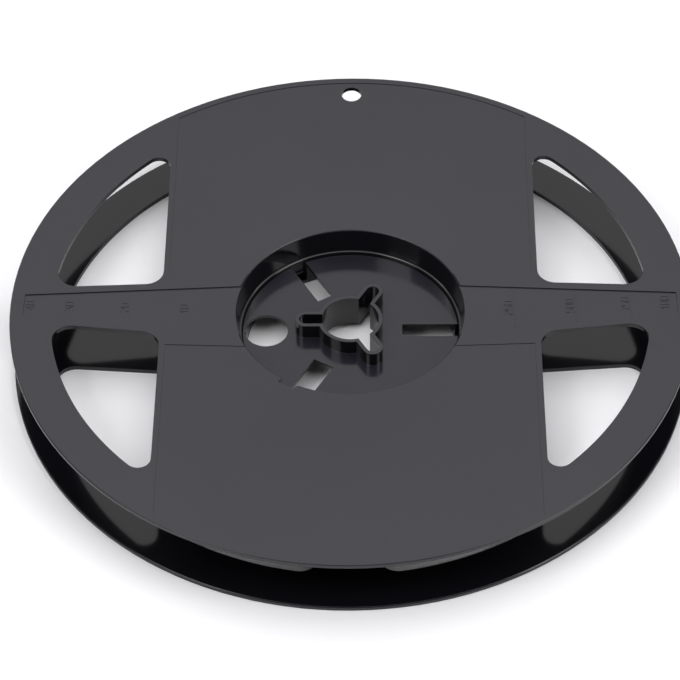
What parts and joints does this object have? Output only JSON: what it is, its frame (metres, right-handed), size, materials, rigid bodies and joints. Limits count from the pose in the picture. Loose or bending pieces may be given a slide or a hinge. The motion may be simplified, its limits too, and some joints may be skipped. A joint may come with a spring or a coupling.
{
  "type": "smd tape reel",
  "caption": "Flat plastic reel for narrow component tape: windowed round flanges around a snap-together core with a key-slotted arbor bore.",
  "frame": {"origin": "centre of the arbor bore at the back flange's outer face, on which the reel lies", "axes": "+Z along the winding axis, out of the front flange; X along the scale bands; +Y towards the hanging hole"},
  "size_m": [0.178, 0.178, 0.0174],
  "materials": {
    "back_plastic": "black high-impact polystyrene, finely textured outside, polished inside",
    "front_plastic": "black high-impact polystyrene, finely textured outside, polished inside"
  },
  "bodies": {
    "root": {"back_half": "back_plastic", "front_half": "front_plastic"}
  },
  "joints": []
}
